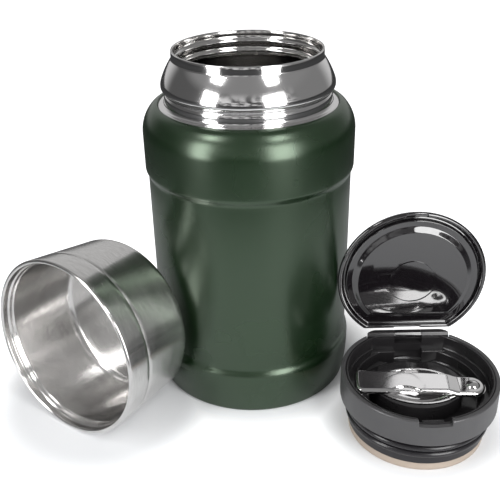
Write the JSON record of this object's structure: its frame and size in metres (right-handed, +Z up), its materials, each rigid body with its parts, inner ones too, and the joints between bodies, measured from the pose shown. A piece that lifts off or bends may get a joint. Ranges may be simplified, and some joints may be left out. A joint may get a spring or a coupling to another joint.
{
  "type": "insulated food jar",
  "caption": "Vacuum-insulated food jar with a wide mouth, a separate double-walled serving cup, and a stopper with a hinged flip lid over a folding spoon.",
  "frame": {"origin": "centre of the jar's base, on the table that the set stands on", "axes": "+Z up along the jar's axis; -Y to the front, where the stopper's thumb notch points; the stopper stands on the +X side and the cup on the -X side"},
  "size_m": [0.2384, 0.1471, 0.169],
  "materials": {
    "green_coat": "satin powder coat, fine grain",
    "polished_steel": "mirror polished stainless steel",
    "liner_steel": "plain stainless steel",
    "cup_steel": "stainless steel brushed around the cup",
    "copper": "bright copper foil",
    "getter_metal": "sintered metal",
    "solder": "cast bead",
    "satin_black": "satin moulded plastic",
    "gloss_black": "high gloss moulded plastic",
    "foam": "moulded foam",
    "silicone": "soft silicone"
  },
  "bodies": {
    "jar": {"outer_shell": "green_coat", "neck_ring": "polished_steel", "inner_liner": "liner_steel", "copper_foil": "copper", "getter": "getter_metal", "outer_bottom": "liner_steel", "vacuum_plug": "solder", "base_cap": "liner_steel"},
    "stopper": {"stopper_body": "satin_black", "spoon_tray": "gloss_black", "stopper_foam": "foam", "stopper_base": "satin_black", "seal_ring": "silicone", "hinge_pin": "polished_steel"},
    "lid": {"flip_lid": "gloss_black"},
    "spoon": {"spoon_bowl": "polished_steel", "spoon_washer": "polished_steel", "spoon_rivet": "polished_steel"},
    "handle": {"spoon_handle": "polished_steel"},
    "cup": {"cup_outer": "cup_steel", "cup_liner": "cup_steel"}
  },
  "joints": [
    {"name": "stopper_lift", "type": "slide", "parent": "jar", "child": "stopper", "axis": [0, -0.0872, 0.9962], "range_m": [0, 0.15]},
    {"name": "cup_lift", "type": "slide", "parent": "jar", "child": "cup", "axis": [0, 0, 1], "range_m": [0, 0.12]},
    {"name": "lid_hinge", "type": "hinge", "parent": "stopper", "child": "lid", "pos_m": [0.07734, -0.02865, 0.0304], "axis": [1, 0, 0], "range_deg": [0, 89]},
    {"name": "spoon_lift", "type": "slide", "parent": "stopper", "child": "spoon", "axis": [0, 0, 1], "range_m": [0, 0.15]},
    {"name": "spoon_fold", "type": "hinge", "parent": "spoon", "child": "handle", "pos_m": [0.10094, -0.06655, 0.0275], "axis": [0, 0, 1], "range_deg": [0, 180]}
  ],
  "couplings": [
    {"joint": "spoon_fold", "follows": "spoon_lift", "rad_per_m": 20.933}
  ]
}
